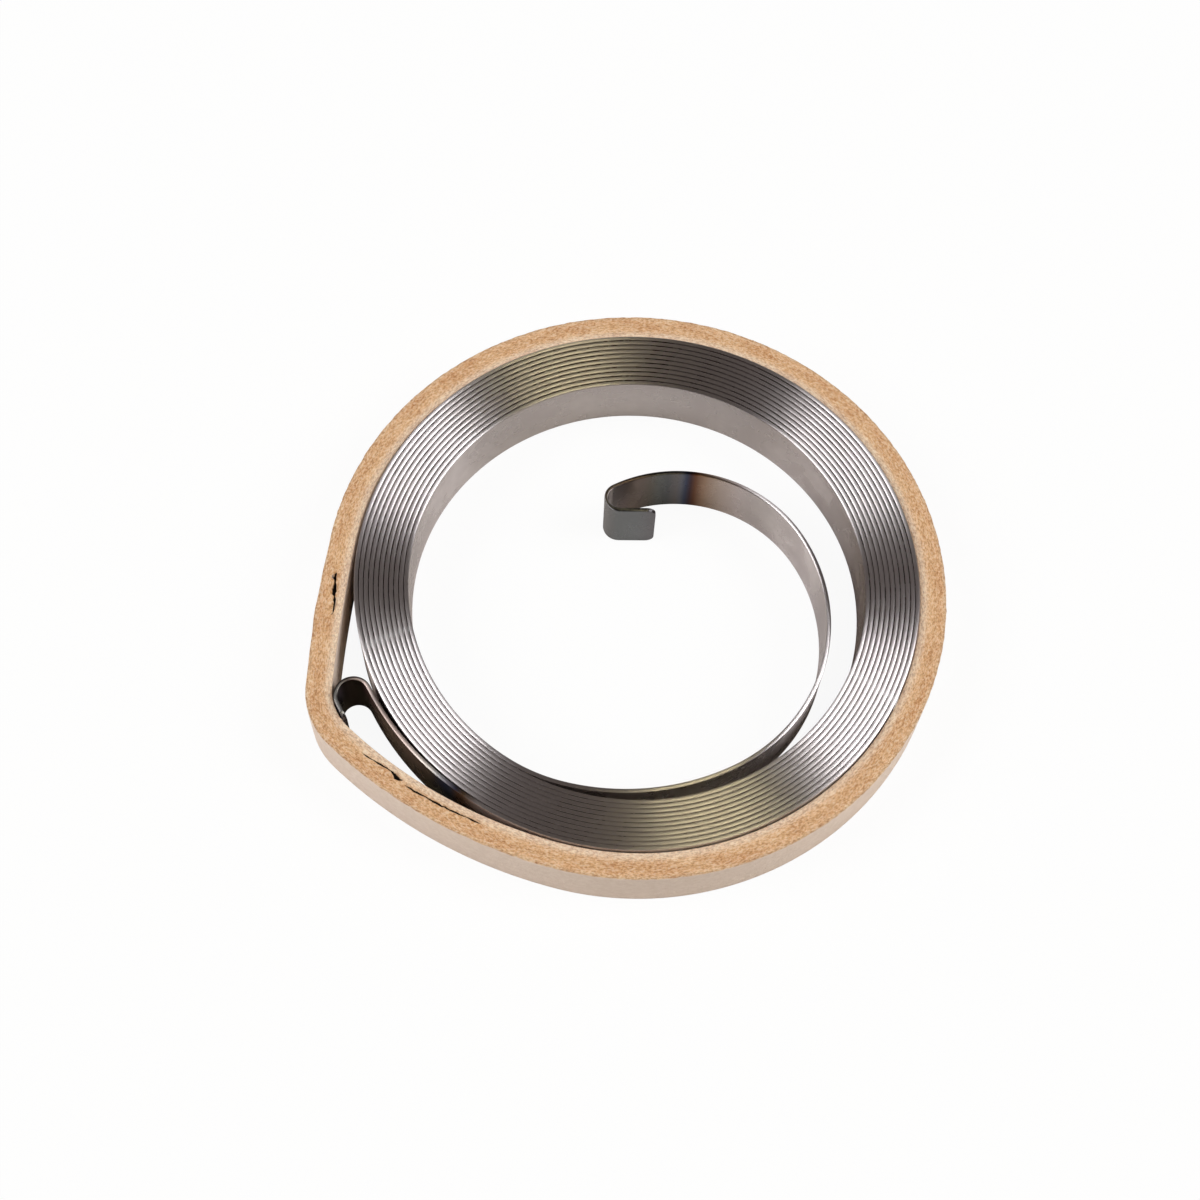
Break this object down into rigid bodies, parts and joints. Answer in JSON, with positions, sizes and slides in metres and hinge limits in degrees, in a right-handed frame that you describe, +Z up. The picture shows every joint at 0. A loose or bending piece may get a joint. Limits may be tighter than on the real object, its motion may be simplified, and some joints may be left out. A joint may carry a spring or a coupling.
{
  "type": "recoil starter spring",
  "caption": "Flat steel spiral spring with a hook at each end, kept closed by a teardrop ring of wound card.",
  "frame": {"origin": "middle of the footprint, on the surface that the part lies on", "axes": "+Z up, across the strip's width; the outer hook is towards -X, and -Y faces the viewer"},
  "size_m": [0.0662, 0.0656, 0.007],
  "materials": {
    "spring_steel": "rolled and polished strip with rounded edges, heat tinted at both ends",
    "card": "sawn end of a wound tube, with fibres and plies that follow the ring"
  },
  "bodies": {
    "root": {"spring_strip": "spring_steel", "card_ring": "card"}
  },
  "joints": []
}
